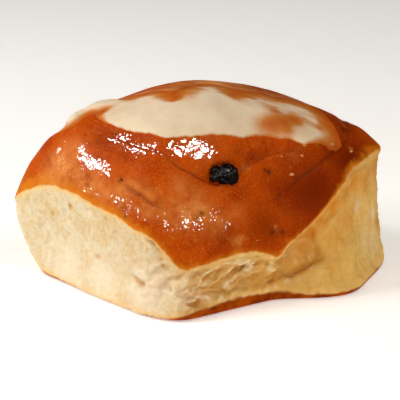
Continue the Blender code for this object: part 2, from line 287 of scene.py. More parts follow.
bunShape = dict(
    roughVoxel=0.0006,
    fineVoxel=0.00048,
    # lower edge of the crust: angle round the crown, height above the base
    crustLine=[
        (-145, 0.0255), (-137, 0.0262), (-132, 0.0305), (-126, 0.0344), (-120, 0.0356), (-109, 0.0351),
        (-102, 0.0338), (-95, 0.0325), (-86, 0.0322), (-78, 0.0294), (-72, 0.0284), (-67, 0.0265),
        (-61, 0.0221), (-55, 0.0170), (-51, 0.0162), (-40, 0.0180), (-29, 0.0192), (-16, 0.0191),
        (-10, 0.0179), (-4, 0.0158), (1, 0.0200), (6, 0.0226), (11, 0.0254), (15, 0.0286),
        (18, 0.0322), (21, 0.0358), (28, 0.0391), (35, 0.0410), (44, 0.0425), (52, 0.0420),
        (64, 0.0392), (84, 0.0365), (106, 0.0335), (129, 0.0285), (150, 0.0322), (168, 0.0340),
        (188, 0.0330), (202, 0.0298),
    ],
    # upper edge of the browned base band
    baseLine=[
        (-137, 0.0015), (-128, 0.0013), (-120, 0.0007), (-100, 0.0005), (-75, 0.0006), (-60, 0.0010),
        (-54, 0.0018), (-48, 0.0028), (-40, 0.0034), (-28, 0.0040), (-14, 0.0041), (-4, 0.0035),
        (3, 0.0030), (8, 0.0021), (14, 0.0017), (24, 0.0019), (43, 0.0024), (60, 0.0020),
        (90, 0.0012), (129, 0.0022), (160, 0.0010), (190, 0.0008),
    ],
    # how ragged the torn side is by angle, from 0 soft to 1 all flakes
    ragged=[
        (-140, 0.10), (-110, 0.12), (-82, 0.20), (-70, 0.34), (-57, 0.45), (-50, 0.85), (-40, 1.0),
        (-8, 1.0), (2, 0.75), (10, 0.35), (22, 0.15), (50, 0.10), (84, 0.45), (110, 0.75), (129, 0.45),
        (160, 0.30), (190, 0.45), (205, 0.20),
    ],
    # how far the pale golden edge of the crust runs up, by angle
    goldWidth=[
        (-145, 0.0120), (-130, 0.0110), (-110, 0.0065), (-90, 0.0055), (-70, 0.0048), (-55, 0.0040),
        (-40, 0.0032), (-10, 0.0030), (10, 0.0034), (30, 0.0036), (50, 0.0044), (84, 0.0060),
        (129, 0.0080), (180, 0.0070),
    ],
    flakeDepth=0.0029,
    flakeSlant=24.0,
    poreDepth=0.00055,
    poreSize=0.0030,
)


# broad moulded forms that the finer ones take the place of, in millimetres from the crown
mouldedForms = dict(
    # the groove along the seam: the row of seamShape's run, and its depth there
    groove={
        0: 0.2, 2: 0.6, 5: 1.0, 8: 1.1, 11: 1.2, 14: 1.4, 17: 1.6, 19: 1.6, 21: 1.6, 24: 1.5, 26: 1.0,
        28: 0.5, 30: 0.4, 33: 0.7, 36: 1.0, 39: 1.4, 41: 1.8, 43: 1.8, 45: 1.4, 47: 0.7, 48: 0.2,
    },
    grooveHalfWidth=1.6,
    # hollows: place, half length, half width, turn, depth
    hollows=[
        (10.5, -35.5, 9.5, 2.7, 16.0, 1.2), (25.6, -6.5, 6.5, 2.4, 72.0, 1.4),
        (31.7, -0.8, 1.4, 1.4, 0.0, 0.7),
    ],
    filled=0.60,
    evenRounds=10,
)

seamShape = dict(
    # the seam in plan from the crown, in millimetres, from its outer end inwards,
    # then how far its outer lip stands up and how open it is, both from 0 to 1
    run=[
        (31.2, -13.1, 0.0, 0.0), (32.7, -7.2, 0.0, 0.15), (33.5, -4.3, 0.0, 0.25), (35.0, 0.9, 0.0, 0.5),
        (36.5, 4.5, 0.05, 0.7), (37.6, 7.1, 0.1, 0.8), (39.1, 9.8, 0.1, 0.8), (39.9, 12.5, 0.1, 0.8),
        (40.2, 16.2, 0.1, 0.8), (39.9, 20.4, 0.1, 0.8), (39.2, 25.1, 0.15, 0.9), (38.6, 28.6, 0.15, 0.9),
        (37.8, 31.9, 0.15, 0.9), (36.6, 34.4, 0.2, 1.0), (34.4, 37.0, 0.2, 1.0), (31.0, 40.5, 0.2, 1.0),
        (25.8, 43.2, 0.2, 1.0), (14.4, 44.0, 0.2, 1.0), (4.6, 43.6, 0.3, 1.0), (-7.3, 41.6, 0.3, 1.0),
        (-20.0, 38.4, 0.3, 1.0), (-28.1, 33.7, 0.3, 1.0), (-32.3, 26.1, 0.2, 1.0),
        (-35.7, 13.0, 0.2, 1.0), (-38.0, 0.0, 0.2, 0.9), (-37.6, -13.6, 0.1, 0.7),
        (-35.6, -25.2, 0.05, 0.4), (-32.0, -30.7, 0.0, 0.1), (-26.5, -32.2, 0.0, 0.0),
        (-17.9, -32.0, 0.0, 0.0), (-9.0, -31.2, 0.0, 0.0), (-2.4, -30.5, 0.0, 0.4),
        (1.6, -30.2, 0.0, 0.6), (5.6, -29.5, 0.0, 0.5), (10.6, -28.3, 0.05, 0.5),
        (13.9, -27.1, 0.05, 0.6), (16.7, -25.6, 0.1, 0.7), (19.1, -23.6, 0.2, 0.9),
        (21.4, -21.4, 0.45, 1.0), (23.7, -18.9, 0.8, 1.0), (25.8, -15.5, 1.0, 1.0),
        (27.0, -12.0, 1.0, 0.9), (27.8, -8.0, 1.0, 0.6), (28.4, -4.0, 0.95, 0.4), (29.0, -1.0, 0.85, 0.3),
        (29.9, 1.7, 0.7, 0.3), (31.3, 4.2, 0.5, 0.3), (33.4, 7.4, 0.25, 0.3), (35.8, 10.8, 0.0, 0.1),
    ],
    creaseDepth=0.00060,
    creaseWidth=0.00045,
    lipHeight=0.0009,
    lipReach=0.0024,
    pocketDepth=0.0013,
    pocketReach=0.0030,
)

# a shallow flat fold at the left front: its crisp upper edge, and its lower line darkened with painted
# shade
flatFold = dict(
    upper=[
        (-2.0, -36.4, 0.0), (1.2, -36.3, 0.7), (5.5, -35.7, 1.0), (10.7, -35.1, 1.0), (14.7, -34.0, 0.8),
        (17.8, -32.3, 0.0),
    ],
    lower=[
        (0.5, -37.2, 0.0), (3.8, -37.1, 0.7), (9.1, -36.7, 1.0), (13.5, -35.8, 1.0), (16.1, -34.1, 0.6),
        (17.8, -32.3, 0.0),
    ],
    lineWidth=0.0007,
    ridgeHeight=0.00050,
    valleyDepth=0.00080,
    valleyDarkness=0.42,
)

raisinSeat = dict(radius=0.0045, sunk=0.0036, facing=(60.0, 34.0))

glazeRelief = dict(lump=0.00012, wrinkle=0.00002, wetWrinkle=0.00008)

# small marks on the crust, with painted shade in the pocket by the raisin: plan place from the crown in
# millimetres, radius, dent, darkness
crustMarks = dict(
    darkSpot=(1.8, -36.9, 1.15, 0.35, 1.0),
    stain=(5.4, -39.3, 1.00, 0.10, 0.75),
    stainFoot=(6.7, -39.7, 0.90, 0.10, 0.7),
    pit=(31.9, -0.6, 0.95, 0.45, 0.95),
    pitBeside=(31.1, -1.7, 0.70, 0.25, 0.8),
    smallHole=(24.4, -23.8, 0.85, 0.45, 0.9),
    speckByHole=(23.9, -25.3, 0.55, 0.10, 0.7),
    speckFront=(22.2, -29.5, 0.55, 0.15, 0.6),
    speckFold=(19.1, -30.4, 0.60, 0.15, 0.5),
    smudgeLeft=(-17.1, -34.3, 0.80, 0.10, 0.45),
    smudgeNext=(-11.5, -33.6, 1.30, 0.10, 0.4),
    smudgeLow=(-13.8, -35.1, 0.90, 0.10, 0.3),
    smudgeTop=(-7.5, -30.7, 1.20, 0.10, 0.5),
    streakTop=(17.2, -16.7, 1.20, 0.10, 0.6),
    pocketShade=(26.2, -3.0, 1.60, 0.10, 0.55),
    pocketShadeLow=(24.6, -7.6, 1.60, 0.10, 0.55),
    pocketShadeEnd=(27.6, 1.6, 1.00, 0.10, 0.5),
    dimpleFront=(36.3, -3.3, 1.20, 0.45, 0.75),
    dimpleBeside=(37.9, -0.3, 1.10, 0.40, 0.7),
    redFold=(-11.3, -39.3, 0.90, 0.25, 0.5),
    redFoldLow=(-10.5, -40.2, 0.90, 0.25, 0.55),
    redDotLeft=(-29.6, -39.7, 0.60, 0.10, 0.45),
    redDotLower=(-31.1, -40.3, 0.60, 0.10, 0.4),
    redDotMiddle=(-17.6, -40.6, 0.60, 0.10, 0.4),
    redDotEdge=(-27.8, -42.2, 0.80, 0.10, 0.6),
    foldPit=(15.1, -34.3, 0.90, 0.30, 0.6),
    cleft=(34.6, 34.5, 1.20, 0.40, 0.7),
    backSpot=(13.0, 12.0, 1.10, 0.10, 0.6),
    backSpotFar=(-6.0, 22.0, 1.40, 0.10, 0.6),
    backSpotLeft=(-24.0, 8.0, 1.20, 0.20, 0.6),
)

# rough wet patches that break the light up: plan place in millimetres, radius, strength
wetPatches = [
    (-7.0, -32.1, 1.5, 1.1),
    (-4.5, -31.0, 1.6, 1.2), (-3.3, -29.9, 1.4, 1.2), (0.3, -31.2, 1.7, 1.2), (3.2, -31.0, 1.8, 1.2),
    (5.3, -30.4, 1.9, 1.2), (7.5, -28.7, 2.0, 1.2), (9.8, -28.3, 2.0, 1.2), (11.0, -27.3, 1.8, 1.2),
    (12.5, -24.8, 2.2, 1.2), (14.5, -24.2, 2.0, 1.2), (14.8, -21.3, 2.2, 1.2), (16.5, -20.9, 2.2, 1.2),
    (17.0, -18.7, 2.2, 1.2), (19.1, -19.0, 2.2, 1.2), (19.3, -17.0, 2.0, 1.1), (21.0, -15.8, 1.8, 1.0),
    (-11.5, -40.8, 1.2, 0.5), (-8.4, -40.4, 1.2, 0.4), (-4.6, -40.0, 1.4, 0.4), (-0.5, -39.6, 1.5, 0.5),
    (2.7, -39.2, 1.8, 0.6), (6.9, -39.0, 2.0, 0.8), (11.4, -38.2, 2.0, 0.9), (14.5, -36.8, 2.2, 1.0),
    (16.9, -34.9, 2.4, 1.0), (19.1, -32.8, 2.4, 0.9), (20.8, -30.0, 2.6, 0.9), (22.1, -28.7, 2.4, 0.7),
    (23.3, -27.3, 2.2, 0.5), (24.5, -24.9, 2.2, 0.45), (26.7, -20.3, 2.2, 0.4), (28.9, -18.1, 2.0, 0.3),
    (-24.6, -37.0, 1.3, 0.3), (-28.2, -40.2, 1.4, 0.3), (-30.4, -41.6, 1.4, 0.4), (-8.0, 36.0, 5.0, 0.6),
    (-34.0, 10.0, 5.0, 0.6), (10.0, 40.0, 5.0, 0.5), (-20.0, 30.0, 4.0, 0.6), (32.0, 38.0, 3.0, 0.6),
    # the cluster on the left shoulder
    (-16.2, -36.6, 1.6, 1.0), (-14.4, -37.4, 1.9, 1.0), (-12.2, -37.7, 2.0, 1.0),
    (-10.2, -37.6, 1.9, 1.0), (-8.0, -37.3, 1.8, 1.0), (-5.6, -37.2, 1.7, 1.0), (-3.4, -37.3, 1.4, 0.7),
    (-26.0, -38.2, 1.2, 0.5),
]

# where the glaze looks paler: a salmon bloom of painted sheen, and small amber spots: place, radius,
# strength
palePatches = [
    (-26.8, -41.6, 4.0, 0.9), (-24.1, -39.4, 4.0, 0.9), (-21.5, -39.6, 3.6, 0.9),
    (-19.6, -36.7, 2.6, 0.6), (-16.4, -39.9, 3.2, 0.8), (-12.5, -39.5, 2.6, 0.7), (-9.3, -40.0, 2.6, 0.8),
    (-6.0, -39.0, 2.4, 0.7), (-2.7, -39.7, 2.6, 0.9), (2.4, -37.9, 2.4, 0.8), (7.2, -36.1, 2.6, 0.8),
    (5.5, -38.5, 2.4, 0.7), (12.5, -37.0, 2.6, 0.8), (12.9, -35.1, 2.4, 0.6), (16.5, -34.5, 2.4, 0.5),
    (18.1, -31.6, 2.8, 0.5), (21.5, -28.5, 3.4, 1.0), (23.8, -24.1, 3.4, 1.0), (27.2, -20.9, 2.6, 0.8),
    (30.3, -15.0, 2.6, 0.4), (19.0, -28.0, 3.0, 0.7), (36.5, -2.2, 0.7, 0.9), (32.1, -14.5, 1.5, 0.6),
    (31.6, -15.8, 1.2, 0.6), (26.5, -6.6, 1.3, 0.8), (40.5, 30.4, 0.7, 0.8), (33.7, 35.8, 0.7, 0.7),
    (37.2, 24.2, 0.8, 0.6), (21.5, -17.1, 0.7, 0.9), (35.0, 8.0, 1.2, 0.3), (14.0, 30.0, 6.0, 0.3),
    (-16.0, 12.0, 7.0, 0.3), (-30.0, -8.0, 5.0, 0.4),
]

# a faint pale veil on the crown, of dried sugar and of painted sheen on the top: plan place, half sizes,
# turn, strength
sugarVeil = [
    (-6.0, -6.0, 9.0, 4.5, 40.0, 0.55), (4.0, 12.0, 10.0, 5.0, 50.0, 0.45),
    (14.0, 22.0, 8.0, 4.0, 50.0, 0.30), (-14.0, -11.0, 7.0, 3.0, 35.0, 0.50),
    (-1.0, -12.0, 3.0, 1.5, 35.0, 0.30), (1.0, 3.0, 9.0, 5.0, 45.0, 0.55),
    (-3.0, 10.0, 12.0, 7.0, 50.0, 0.70),
]

tornShape = dict(
    # large hollows in the torn sides: place in millimetres, radius, depth
    hollows=[
        (38.5, -0.5, 19.3, 4.6, 2.3), (39.0, 2.5, 15.1, 3.8, 1.9), (36.5, -1.4, 13.0, 3.6, 1.6),
        (36.6, -3.6, 22.0, 3.2, 1.3), (-38.0, 30.0, 14.0, 5.0, 1.5), (8.0, 47.0, 15.0, 6.0, 1.4),
    ],
    # small holes and crevices
    holes=[
        (23.7, -32.3, 5.2, 1.3, 1.6), (23.4, -32.4, 3.9, 1.1, 1.3), (27.3, -18.8, 13.6, 0.9, 1.0),
        (28.2, -17.4, 13.9, 0.9, 0.9), (29.6, -20.3, 4.3, 0.8, 1.0), (14.0, -41.9, 25.7, 0.7, 0.9),
        (14.8, -41.4, 24.5, 0.6, 0.9), (15.6, -41.0, 23.4, 0.6, 0.8), (16.4, -40.5, 22.2, 0.6, 0.6),
        (9.0, -42.5, 10.5, 0.9, 0.5), (16.1, -39.3, 17.7, 0.8, 0.5), (19.0, -38.3, 10.4, 0.8, 0.5),
        (22.8, -35.5, 10.0, 1.0, 0.6), (23.3, -31.4, 8.8, 0.9, 0.8), (-28.6, -45.6, 25.8, 0.8, 0.4),
        (39.8, 39.7, 16.6, 1.3, 0.4),
        (-20.0, -45.0, 29.9, 0.9, 0.5), (-4.5, -44.0, 29.8, 0.8, 0.4), (-8.9, -43.9, 15.5, 0.8, 0.4),
    ],
    # torn flakes set one by one: angle, height in millimetres, half length, half width, turn, lean
    flakes=[
        (-6.5, 12.8, 3.0, 0.9, -6.0, 40.0), (-26.0, 11.6, 2.6, 0.8, 4.0, 45.0),
        (-38.0, 9.2, 2.6, 0.8, 6.0, 50.0), (-30.0, 8.6, 3.6, 0.9, 42.0, 45.0),
        (-22.0, 10.6, 3.2, 0.9, 38.0, 45.0), (-48.0, 7.9, 2.2, 1.0, -8.0, 50.0),
        (-12.0, 14.2, 3.4, 1.1, 18.0, 35.0), (-18.0, 15.4, 3.8, 1.2, 22.0, 35.0),
    ],
    scattered=40,
    seed=7,
    # one flake's bend, ripple, narrowing, lift off the side and half thickness, in millimetres
    leafCurl=0.25,
    leafWave=0.22,
    leafTaper=0.45,
    leafLift=0.35,
    leafThickness=0.50,
    # cracks that run over the side: places in millimetres
    cracks=[
        [(40.0, 4.6, 23.3), (40.5, 5.8, 19.8), (41.0, 6.9, 16.3), (41.7, 7.6, 13.5), (39.1, 3.8, 11.1),
         (36.7, 0.0, 9.1), (36.1, -1.7, 7.7)],
        [(12.8, -42.2, 27.2), (14.0, -41.9, 25.7), (14.8, -41.4, 24.5), (15.6, -41.0, 23.4),
         (16.4, -40.5, 22.2), (16.2, -40.6, 19.8)],
        [(6.0, -43.0, 12.5), (8.5, -42.6, 10.8), (10.0, -42.3, 10.6)],
        [(42.0, 10.5, 26.0), (43.5, 15.0, 28.0), (43.9, 18.0, 30.2), (43.6, 21.3, 34.5),
         (43.0, 23.8, 38.0)],
    ],
    # creamier parts of the crumb: place, radius, strength
    creamy=[
        (12.0, -41.5, 7.0, 9.0, 1.0), (16.0, -40.5, 11.0, 5.0, 0.8), (-6.0, -43.5, 8.0, 9.0, 0.8),
        (-24.0, -44.0, 9.0, 9.0, 0.8), (20.0, -37.0, 8.0, 4.0, 0.5), (41.8, 26.2, 26.9, 2.2, 0.9),
        (40.4, 36.3, 21.3, 2.4, 0.9), (31.0, -16.0, 13.0, 3.0, 0.5),
        (21.0, -33.5, 7.0, 4.5, 0.9), (24.0, -29.5, 5.5, 2.5, 0.8), (44.6, 33.0, 13.0, 6.0, 0.4),
    ],
    # darker parts of the crumb, from toasting by the crust and from painted shade in the recesses of the
    # right side: place, radius, strength
    toasted=[
        (43.7, 17.2, 34.5, 5.0, 0.85), (43.0, 12.5, 30.5, 4.6, 0.95), (41.0, 8.0, 27.0, 4.5, 0.85),
        (43.2, 23.1, 36.8, 5.5, 0.80), (41.4, 31.2, 35.3, 6.0, 0.75), (39.3, 39.5, 37.1, 6.0, 0.75),
        (43.9, 19.2, 24.5, 6.0, 0.55), (43.0, 13.5, 20.0, 5.5, 0.50), (42.3, 22.2, 27.0, 4.5, 0.45),
        (40.0, 4.6, 23.3, 5.0, 0.70), (36.0, 4.2, 17.5, 5.5, 0.45), (39.8, 39.7, 17.0, 3.0, 0.55),
        (44.4, 9.6, 10.0, 2.5, 0.30), (-36.0, 35.0, 22.0, 7.0, 0.50), (10.0, 46.0, 26.0, 8.0, 0.50),
        (-44.0, 5.0, 24.0, 8.0, 0.40),
    ],
    # how yellow, warm and dark the crumb is by angle, partly its own tone and partly painted shade on the
    # sides away from the light: little on the left face, most in the right hollow
    warmth=[
        (-140, 0.0), (-75, 0.0), (-60, 0.0), (-52, 0.22), (-42, 0.50), (-10, 0.68), (10, 0.92), (30, 0.88),
        (60, 0.6), (120, 0.4), (180, 0.3),
    ],
    # how much the side lies in upright folds, by angle
    folded=[
        (-20, 0.0), (4, 0.5), (16, 1.0), (58, 1.0), (76, 0.3), (100, 0.2), (130, 0.8), (200, 0.3),
        (230, 0.0),
    ],
    foldDepth=0.0016,
    # fine relief of the crumb: heights in metres
    swellHeight=0.0005,
    tinyPoreDepth=0.00016,
    cottonHeight=0.00024,
    grainHeight=0.00018,
    shredHeight=0.00040,
    wrinkleHeight=0.00022,
    crackDepth=0.0011,
    crackWidth=0.0008,
    recessReach=0.0019,
)


# darker parts of the crust, from deeper baking and, on the right side, painted shade: place in
# millimetres, radius, strength
bakedPatches = [
    (39.0, 6.0, 36.0, 13.0, 0.95), (39.0, 24.0, 40.0, 14.0, 0.97), (28.0, -22.0, 25.0, 6.0, 0.4),
    (-15.0, -38.0, 53.0, 6.0, 0.25), (-11.0, -38.7, 51.0, 6.0, 0.30),
    (33.0, 30.0, 52.0, 10.0, 0.55), (33.5, -10.0, 27.0, 8.0, 0.62), (-10.0, 35.0, 50.0, 16.0, 0.5),
    (-30.0, 5.0, 50.0, 12.0, 0.4), (0.0, -37.0, 50.0, 5.0, 0.3),
]


def evenOut(piece):
    # levels the broad moulded forms of the crust, so that finer ones can be shaped
    mesh = piece.data
    points, normals = readMesh(mesh)
    angles, _ = aroundCrown(points)
    upper = easeStep(0.0, 0.0020, points[:, 2] - curveAt(bunShape["crustLine"], angles))
    groove = [(*seamShape["run"][row][:2], depth) for row, depth in mouldedForms["groove"].items()]
    away, depth = nearRun(points, groove)
    across = away * 1000.0 / mouldedForms["grooveHalfWidth"]
    fill = depth * (np.exp(-across**2) - 0.33 * np.exp(-((across - 2.4) / 1.3) ** 2))
    fill += sum(ovals(points, mouldedForms["hollows"]))
    points += normals * (upper * mouldedForms["filled"] * fill / 1000.0)[:, None]
    writePoints(mesh, points)
    group = piece.vertex_groups.new(name="crust")
    for k in np.flatnonzero(upper > 0.5):
        group.add([int(k)], 1.0, "REPLACE")
    relax(piece, mouldedForms["evenRounds"], "crust")
    applyModifiers(piece)
    piece.vertex_groups.clear()


def tornRelief(points, angles, reach):
    # ridged layers that run up to the right: 1 on a torn edge, 0 deep between two
    slant = math.radians(bunShape["flakeSlant"])
    around = np.radians(angles) * reach
    height = points[:, 2]
    along = around * math.cos(slant) + height * math.sin(slant)
    across = height * math.cos(slant) - around * math.sin(slant)
    laid = np.column_stack([along, across, reach])
    broad = 1.0 - np.abs(doughNoise(laid, 0.0062, 3.0, (1.9, 0.9, 1.2))) * 1.9
    fine = 1.0 - np.abs(doughNoise(laid, 0.0029, 5.0, (1.7, 0.9, 1.2))) * 1.9
    return 0.62 * broad + 0.38 * fine


def addFlakes(piece):
    # thin torn leaves that stand out from the ragged side, run into the dough by the remesh
    tree = treeOf(piece.data)
    pick = random.Random(tornShape["seed"])
    flakes = list(tornShape["flakes"])
    for _ in range(tornShape["scattered"]):
        angle = pick.uniform(-66.0, 6.0) if pick.random() < 0.75 else pick.uniform(84.0, 215.0)
        low = curveAt(bunShape["baseLine"], [angle])[0] * 1000.0
        high = curveAt(bunShape["crustLine"], [angle])[0] * 1000.0
        height = pick.uniform(low + 2.5, high - 2.5)
        flakes.append((angle, height, pick.uniform(1.8, 4.6), pick.uniform(0.7, 1.5),
                       pick.uniform(0.0, 45.0), pick.uniform(25.0, 60.0)))
    bm = bmesh.new()
    bm.from_mesh(piece.data)
    for angle, height, halfLength, halfWidth, turn, lean in flakes:
        point, normal = onSide(angle, height / 1000.0, tree)
        if point is None:
            continue
        side = Vector((-normal.y, normal.x, 0.0)).normalized()
        up = normal.cross(side)
        run = side * math.cos(math.radians(turn)) + up * math.sin(math.radians(turn))
        over = normal.cross(run)
        leaf = over * math.cos(math.radians(lean)) + normal * math.sin(math.radians(lean))
        thick = run.cross(leaf)
        made = bmesh.ops.create_icosphere(bm, subdivisions=3, radius=1.0)["verts"]
        for vert in made:
            x, y, z = vert.co
            curl = tornShape["leafCurl"] * (x * x - 0.4)
            wave = tornShape["leafWave"] * noise.noise(Vector((x * 1.7 + angle, y * 1.7, height)))
            span = halfWidth * (1.0 - tornShape["leafTaper"] * x)
            vert.co = (point + run * (x * halfLength + wave) / 1000.0
                       + leaf * (y * span + tornShape["leafLift"] + curl + wave) / 1000.0
                       + thick * (z * tornShape["leafThickness"]) / 1000.0)
    bm.to_mesh(piece.data)
    bm.free()


def seatRaisin(piece):
    # a little dough under the raisin, so that it sits in the crust and not in an open pit
    middle = Vector(readMesh(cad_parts["raisin"].data)[0].mean(axis=0))
    outwards = outward(*raisinSeat["facing"])
    bm = bmesh.new()
    bm.from_mesh(piece.data)
    for vert in bmesh.ops.create_icosphere(bm, subdivisions=3, radius=raisinSeat["radius"])["verts"]:
        vert.co = middle - outwards * raisinSeat["sunk"] + vert.co
    bm.to_mesh(piece.data)
    bm.free()


def shapeForms(piece):
    # the seam's lip and pocket, the hollows and the broad layers of the torn sides
    mesh = piece.data
    tree = treeOf(mesh)
    points, normals = readMesh(mesh)
    angles, reach = aroundCrown(points)
    crustLine = curveAt(bunShape["crustLine"], angles)
    baseLine = curveAt(bunShape["baseLine"], angles)
    ragged = curveAt(bunShape["ragged"], angles)
    under = crustLine - points[:, 2]
    torn = easeStep(0.0006, 0.0032, under) * easeStep(0.0, 0.0020, points[:, 2] - baseLine)
    side = 1.0 - easeStep(0.45, 0.85, np.abs(normals[:, 2]))
    swell = doughNoise(points, 0.012, 11.0, (1.0, 1.0, 1.4))
    layers = tornRelief(points, angles, reach) - 0.55
    out = torn * side * (bunShape["flakeDepth"] * ragged * layers + tornShape["swellHeight"] * swell)
    folds = doughNoise(points, 0.0085, 51.0, (1.0, 1.0, 3.2))
    folds += 0.4 * doughNoise(points, 0.0040, 52.0, (1.0, 1.0, 2.2))
    out += torn * side * tornShape["foldDepth"] * curveAt(tornShape["folded"], angles) * folds
    for x, y, z, radius, depth in tornShape["hollows"]:
        hollow = ballSpot(points, metres(x, y, z), radius / 1000.0, 3.0)
        out -= easeStep(0.0, 0.0015, under) * hollow * depth / 1000.0

    away, lip, _ = nearRun(points, seamShape["run"], tree)
    crust = easeStep(0.0, -0.0020, under)
    rise = seamShape["lipHeight"] * np.exp(-np.clip(away, 0.0, None) / seamShape["lipReach"])
    drop = seamShape["pocketDepth"] * bell(away, seamShape["pocketReach"])
    step = easeStep(-0.0003, 0.0003, away)
    out += crust * lip * (rise * step - drop * (1.0 - step))
    points += normals * out[:, None]
    writePoints(mesh, points)
    addFlakes(piece)
    seatRaisin(piece)


def shapeSurface(piece):
    # fine relief and the masks that the dough material reads
    mesh = piece.data
    tree = treeOf(mesh)
    points, normals = readMesh(mesh)
    angles, reach = aroundCrown(points)
    wander = 0.0005 * doughNoise(points, 0.0045, 2.0) + 0.0004 * doughNoise(points, 0.0016, 4.0)
    aboveCrustLine = points[:, 2] - curveAt(bunShape["crustLine"], angles) + wander
    aboveBaseLine = points[:, 2] - curveAt(bunShape["baseLine"], angles) + 0.8 * wander
    ragged = curveAt(bunShape["ragged"], angles)
    crumb = easeStep(0.0004, -0.0012, aboveCrustLine) * easeStep(-0.0004, 0.0006, aboveBaseLine)

    cells = doughNoise(points, bunShape["poreSize"], 8.0, (1.0, 1.0, 1.25), "VORONOI_F1")
    small = doughNoise(points, 0.0014, 9.0, (1.0, 1.0, 1.2), "VORONOI_F1")
    where = doughNoise(points, 0.0080, 12.0)
    pores = easeStep(-0.45, -0.95, cells) * easeStep(0.10, 0.55, where)
    tinyPores = easeStep(-0.35, -0.90, small) * easeStep(-0.3, 0.5, doughNoise(points, 0.005, 15.0))
    cotton = doughNoise(points, 0.0024, 14.0, (1.0, 1.0, 1.5))
    fine = doughNoise(points, 0.0012, 16.0)
    shreds = 1.0 - 2.0 * np.abs(doughNoise(points, 0.0017, 18.0, (1.4, 1.4, 0.8)))
    layers = tornRelief(points, angles, reach)
    relief = -bunShape["poreDepth"] * pores * (0.4 + ragged) - tornShape["tinyPoreDepth"] * tinyPores
    relief += tornShape["cottonHeight"] * cotton + tornShape["grainHeight"] * fine
    relief += tornShape["shredHeight"] * ragged * shreds
    wrinkled = doughNoise(points, 0.0016, 53.0, (2.6, 2.6, 0.7))
    relief += tornShape["wrinkleHeight"] * curveAt(tornShape["folded"], angles) * wrinkled
    out = crumb * relief
    # painted shade in the holes and cracks, added to the hollow colour
    hole = np.zeros(len(points))
    for x, y, z, radius, depth in tornShape["holes"]:
        opened = ballSpot(points, metres(x, y, z), radius / 1000.0)
        out -= opened * depth / 1000.0
        hole = np.maximum(hole, 0.8 * opened)
    split = np.clip(0.8 + 0.9 * doughNoise(points, 0.0025, 55.0), 0.1, 1.0)
    for crack in tornShape["cracks"]:
        opened = bell(nearThread(points, crack), tornShape["crackWidth"]) * split * crumb
        out -= tornShape["crackDepth"] * opened
        hole = np.maximum(hole, 0.9 * opened)

    crust = easeStep(-0.0004, 0.0016, aboveCrustLine)
    lumps = doughNoise(points, 0.0065, 21.0)
    wrinkles = doughNoise(points, 0.0015, 23.0)
    wet = np.zeros(len(points))
    for x, y, radius, strength in wetPatches:
        wet = np.maximum(wet, strength * ballSpot(points, dropped(x, y, tree), radius / 1000.0))
    rough = glazeRelief["wrinkle"] + glazeRelief["wetWrinkle"] * wet
    out += crust * (glazeRelief["lump"] * lumps + rough * wrinkles)

    away, _, opening = nearRun(points, seamShape["run"], tree)
    breaks = 0.75 + 0.5 * doughNoise(points, 0.0040, 25.0)
    crease = bell(away, seamShape["creaseWidth"]) * opening * np.clip(breaks, 0.2, 1.0)
    out -= crust * seamShape["creaseDepth"] * crease
    lines = (nearRun(points, flatFold[name], tree) for name in ("upper", "lower"))
    ridge, valley = (bell(away, flatFold["lineWidth"]) * held(share) for away, share in lines)
    out += crust * (flatFold["ridgeHeight"] * ridge - flatFold["valleyDepth"] * valley)
    # painted shade along the fold's lower line
    dark = flatFold["valleyDarkness"] * valley
    broken = np.clip(0.72 + 1.1 * doughNoise(points, 0.0010, 27.0), 0.15, 1.0)
    # dark marks and dents; the pocket ones are painted shade
    for x, y, radius, dent, darkness in crustMarks.values():
        mark = ballSpot(points, dropped(x, y, tree), radius / 1000.0)
        out -= crust * mark * dent / 1000.0
        dark = np.maximum(dark, darkness * broken * mark)
    points += normals * out[:, None]
    writePoints(mesh, points)

    gold = curveAt(bunShape["goldWidth"], angles)
    # painted shade: darker between the torn layers, in the shreds' hollows and in holes
    hollowness = ragged * (1.0 - held(layers))
    hollowness += 0.35 * ragged * (1.0 - held(shreds))
    standing = held((layers - 0.70) / 0.35)
    deep = np.zeros(len(points))
    for x, y, z, radius, depth in tornShape["hollows"]:
        deep = np.maximum(deep, 0.6 * ballSpot(points, metres(x, y, z), 1.1 * radius / 1000.0, 3.0))
    recess = nearThread(points, tornShape["cracks"][0])
    deep = np.maximum(deep, 0.9 * bell(recess, tornShape["recessReach"]))
    # pale patches of the glaze, with painted sheen
    pale = np.zeros(len(points))
    blur = 0.0016 * np.column_stack([doughNoise(points, 0.0034, 61.0 + axis) for axis in range(3)])
    for x, y, radius, strength in palePatches:
        patch = ballSpot(points + blur, dropped(x, y, tree), 1.25 * radius / 1000.0)
        pale = 1.0 - (1.0 - pale) * (1.0 - 0.8 * strength * patch)
    # the veil of dried sugar and painted sheen on the crown
    veil = np.max(list(ovals(points, sugarVeil)), axis=0)
    streaky = doughNoise(points, 0.0030, 29.0, (1.6, 1.0, 1.0))
    paintMasks(
        mesh,
        aboveCrust=aboveCrustLine * 1000.0,
        aboveBase=aboveBaseLine * 1000.0,
        pores=held(pores + 0.6 * tinyPores),
        hollowness=held(hollowness + hole),
        # painted highlight on the standing edges of the torn layers
        tips=ragged * standing * held(0.6 + 0.8 * shreds),
        warmSide=curveAt(tornShape["warmth"], angles),
        deepShade=deep,
        bake=strongest(points, bakedPatches),
        toasted=strongest(points, tornShape["toasted"]),
        creamy=strongest(points, tornShape["creamy"]),
        pale=pale,
        veil=veil * np.clip(0.8 + 0.9 * streaky, 0.0, 1.3),
        golden=held(1.0 - aboveCrustLine / gold),
        wet=wet,
        crease=held(crease),
        mark=dark,
    )


def makeBun():
    piece = copyOfNode("bun", "dressedBun")
    remeshed(piece, bunShape["roughVoxel"], 3)
    evenOut(piece)
    shapeForms(piece)
    remeshed(piece, bunShape["fineVoxel"], 1)
    shapeSurface(piece)
    dress(piece.data, doughMaterial())
    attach(piece, "root")
    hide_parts("bun")
    print("bun", len(piece.data.polygons), "faces")
    return piece


# materials

